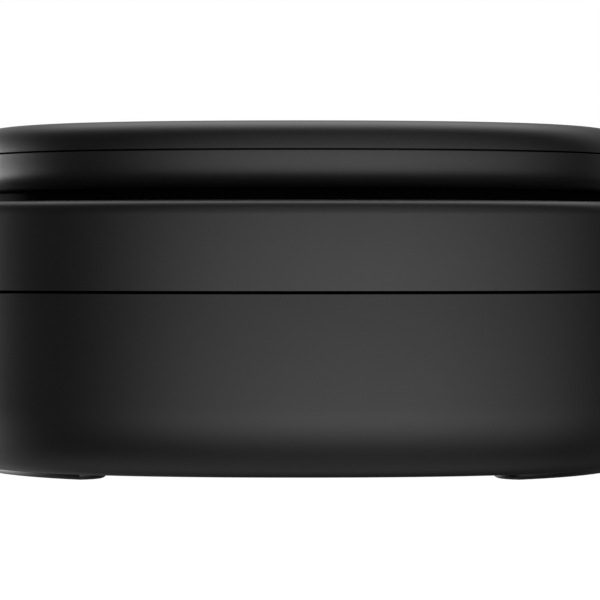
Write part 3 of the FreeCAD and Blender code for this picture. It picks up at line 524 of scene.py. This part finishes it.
# Soft panels round the case: brightness over azimuth (0 in front, positive to the right) times
# brightness over elevation, both as (degrees, value).
PANELS = {
    "front": ([(-180, 0), (-48, 0.0), (-36, 0.14), (-22, 0.5), (-10, 0.98), (4, 1.14), (16, 1.19),
               (26, 0.98), (40, 0.70), (52, 0.57), (64, 0.36), (78, 0.14), (92, 0.03), (180, 0)],
              [(-90, 0.0), (-72, 0.06), (-58, 0.22), (-46, 0.52), (-34, 1.06), (-22, 1.58), (-12, 1.66),
               (-5, 1.46), (2, 1.16), (14, 0.98), (22, 0.72), (40, 0.60), (60, 0.42), (78, 0.16),
               (90, 0.12)]),
    "left": ([(-180, 0.0), (-170, 0.2), (-155, 0.9), (-140, 1.8), (-126, 2.5), (-112, 2.0), (-98, 0.8),
              (-86, 0.25), (-70, 0.0), (180, 0)],
             [(-90, 0.0), (-70, 0.0), (-54, 0.03), (-40, 0.12), (-27, 0.75), (-14, 1.7), (-6, 1.0),
              (0, 0.9), (3, 1.6), (10, 1.3), (18, 0.5), (30, 0.1), (45, 0.0), (90, 0.0)]),
    "back": ([(-180, 0.35), (-165, 0.35), (-150, 0.1), (-140, 0), (150, 0), (170, 0.3), (180, 0.35)],
             [(-90, 0.0), (-3, 0.0), (5, 0.8), (15, 0.8), (25, 0.3), (35, 0.0), (90, 0.0)]),
    "right": ([(-180, 0), (100, 0), (118, 0.14), (132, 0.2), (146, 0.2), (160, 0), (180, 0)],
              [(-90, 0.0), (-20, 0.3), (0, 0.9), (20, 0.9), (34, 1.8), (50, 2.0), (64, 0.8), (76, 0.0),
               (90, 0.0)]),
}
# Panels round one direction: brightness over the angle away from it.
OVERHEAD = ((0.0, math.sin(math.radians(33)), math.cos(math.radians(33))),
            [(0, 1.9), (10, 1.9), (18, 1.5), (26, 0.5), (34, 0.08), (42, 0.0), (180, 0.0)])
UNDERNEATH = ((0.0, math.sin(math.radians(6)), -math.cos(math.radians(6))),
              [(0, 0.33), (16, 0.33), (26, 0.19), (36, 0.04), (44, 0.0), (180, 0.0)])
AMBIENT = 0.03


def build_world():
    """A studio of soft panels, from all sides, above and below. The camera itself sees white."""
    world = bpy.data.worlds.new("studio")
    bpy.context.scene.world = world
    world.use_nodes = True
    tree = world.node_tree
    where = tree.nodes.new("ShaderNodeTexCoord")
    axes = tree.nodes.new("ShaderNodeSeparateXYZ")
    tree.links.new(where.outputs["Generated"], axes.inputs[0])
    forwards = arithmetic(tree, "MULTIPLY", axes.outputs["Y"], -1.0)
    azimuth = arithmetic(tree, "ARCTAN2", axes.outputs["X"], forwards)
    elevation = arithmetic(tree, "ARCSINE", axes.outputs["Z"])
    total = AMBIENT
    for direction, stops in (OVERHEAD, UNDERNEATH):
        dot = tree.nodes.new("ShaderNodeVectorMath")
        dot.operation = "DOT_PRODUCT"
        dot.inputs[1].default_value = direction
        tree.links.new(where.outputs["Generated"], dot.inputs[0])
        apart = arithmetic(tree, "ARCCOSINE", dot.outputs["Value"])
        total = arithmetic(tree, "ADD", ramp_node(tree, apart, 0, 180, stops), total)
    for across_stops, upward_stops in PANELS.values():
        across = ramp_node(tree, azimuth, -180, 180, across_stops)
        upward = ramp_node(tree, elevation, -90, 90, upward_stops)
        total = arithmetic(tree, "ADD", total, arithmetic(tree, "MULTIPLY", across, upward))

    studio = tree.nodes["Background"]
    tree.links.new(total, studio.inputs["Color"])
    white = tree.nodes.new("ShaderNodeBackground")
    white.inputs["Color"].default_value = (1.0, 1.0, 1.0, 1.0)
    mix = tree.nodes.new("ShaderNodeMixShader")
    ray = tree.nodes.new("ShaderNodeLightPath")
    tree.links.new(ray.outputs["Is Camera Ray"], mix.inputs[0])
    tree.links.new(studio.outputs[0], mix.inputs[1])
    tree.links.new(white.outputs[0], mix.inputs[2])
    tree.links.new(mix.outputs[0], tree.nodes["World Output"].inputs["Surface"])


def build_rim_light():
    """A small hard light, low at the back left, that shines into the gap under the lid."""
    azimuth, elevation = math.radians(-141.0), math.radians(2.2)
    distance, width, power = 1.0, 0.01, 4.2
    data = bpy.data.lights.new("rim_light", "AREA")
    data.shape = "RECTANGLE"
    data.size, data.size_y = width, width
    data.energy = power
    lamp = bpy.data.objects.new("rim_light", data)
    bpy.context.scene.collection.objects.link(lamp)
    away = Vector((math.sin(azimuth) * math.cos(elevation), -math.cos(azimuth) * math.cos(elevation),
                   math.sin(elevation)))
    target = Vector((0.0, 0.0, 0.02))
    lamp.location = target + away * distance
    lamp.rotation_mode = "QUATERNION"
    lamp.rotation_quaternion = away.to_track_quat("Z", "Y")
    lamp.visible_camera = False


def build_camera():
    """A long lens in front, level with the upper half of the base and tipped down a little."""
    distance, height, tipped = 0.2794, 0.0192, 0.726
    data = bpy.data.cameras.new("camera")
    data.sensor_width = 36.0
    data.lens = 170.0
    data.clip_start, data.clip_end = 0.01, 10.0
    camera = bpy.data.objects.new("camera", data)
    camera.location = (0.0, -distance, height)
    camera.rotation_euler = (math.radians(90.0 - tipped), 0.0, 0.0)
    bpy.context.scene.collection.objects.link(camera)
    bpy.context.scene.camera = camera


shells = [build_lid_cap(), build_lid_ring(), build_collar(), build_lower_shell()]
paint_everything(shells)
for place in ("front_left", "front_right", "rear_left", "rear_right"):
    build_contact_spring(place)
build_stage()
build_world()
build_rim_light()
build_camera()
bpy.context.scene.view_settings.view_transform = "Standard"
